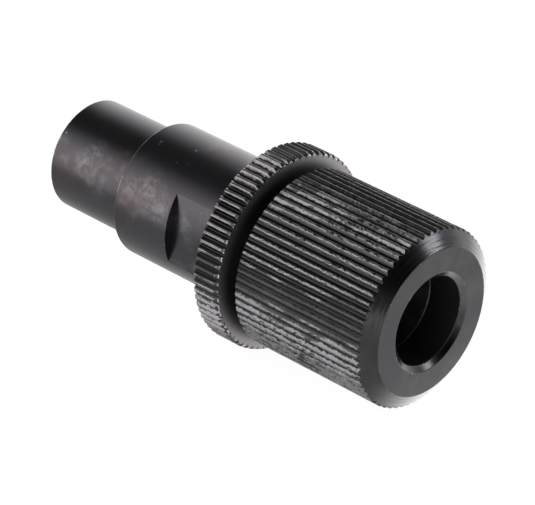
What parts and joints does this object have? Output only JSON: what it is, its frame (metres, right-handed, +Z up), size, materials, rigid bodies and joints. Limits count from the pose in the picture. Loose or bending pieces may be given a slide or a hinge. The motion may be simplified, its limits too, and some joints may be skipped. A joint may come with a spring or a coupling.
{
  "type": "drill chuck",
  "caption": "Keyless drill chuck with a knurled clamping sleeve over inclined jaws, a fixed knurled grip ring, wrench flats on the hub and a threaded socket in the tail.",
  "frame": {"origin": "centre of the rear face, on the chuck axis, at the mouth of the threaded socket", "axes": "+X along the chuck axis towards the nose; +Z up with the chuck lying on its side"},
  "size_m": [0.0844, 0.038, 0.038],
  "materials": {
    "black_steel_body": "satin black oxide",
    "black_steel_ring": "satin black oxide, worn crests",
    "black_steel_sleeve": "satin black oxide, worn crests",
    "jaw_steel": "ground hardened steel",
    "plain_steel": "turned steel",
    "spring_steel": "oiled spring steel",
    "bearing_steel": "polished",
    "cage_brass": "machined",
    "seal_rubber": "matte"
  },
  "bodies": {
    "body": {"chuck_body": "black_steel_body", "grip_ring": "black_steel_ring", "ring_key": "plain_steel", "rear_race": "bearing_steel", "rear_dust_seal": "seal_rubber", "nose_dust_seal": "seal_rubber"},
    "sleeve": {"clamping_sleeve": "black_steel_sleeve", "nut_half_1": "plain_steel", "nut_half_2": "plain_steel", "nut_band": "plain_steel", "drive_pins": "plain_steel", "sleeve_snap_ring": "spring_steel", "front_race": "bearing_steel"},
    "bearing": {"bearing_balls": "bearing_steel", "ball_cage": "cage_brass"},
    "jaw_1": {"jaw_1": "jaw_steel"},
    "jaw_2": {"jaw_2": "jaw_steel"},
    "jaw_3": {"jaw_3": "jaw_steel"}
  },
  "joints": [
    {"name": "sleeve_turn", "type": "hinge", "parent": "body", "child": "sleeve", "pos_m": [0.0689, 0, 0], "axis": [-1, 0, 0], "range_deg": [0, 1260]},
    {"name": "jaw_1_slide", "type": "slide", "parent": "body", "child": "jaw_1", "axis": [0.9511, 0.2332, -0.2027], "range_m": [0, 0.0112]},
    {"name": "jaw_2_slide", "type": "slide", "parent": "body", "child": "jaw_2", "axis": [0.9511, 0.059, 0.3033], "range_m": [0, 0.0112]},
    {"name": "jaw_3_slide", "type": "slide", "parent": "body", "child": "jaw_3", "axis": [0.9511, -0.2922, -0.1006], "range_m": [0, 0.0112]},
    {"name": "bearing_turn", "type": "hinge", "parent": "body", "child": "bearing", "pos_m": [0.063, 0, 0], "axis": [-1, 0, 0], "range_deg": [0, 630]}
  ],
  "couplings": [
    {"joint": "jaw_1_slide", "follows": "sleeve_turn", "m_per_rad": 0.00050929},
    {"joint": "jaw_2_slide", "follows": "sleeve_turn", "m_per_rad": 0.00050929},
    {"joint": "jaw_3_slide", "follows": "sleeve_turn", "m_per_rad": 0.00050929},
    {"joint": "bearing_turn", "follows": "sleeve_turn", "ratio": 0.5}
  ]
}
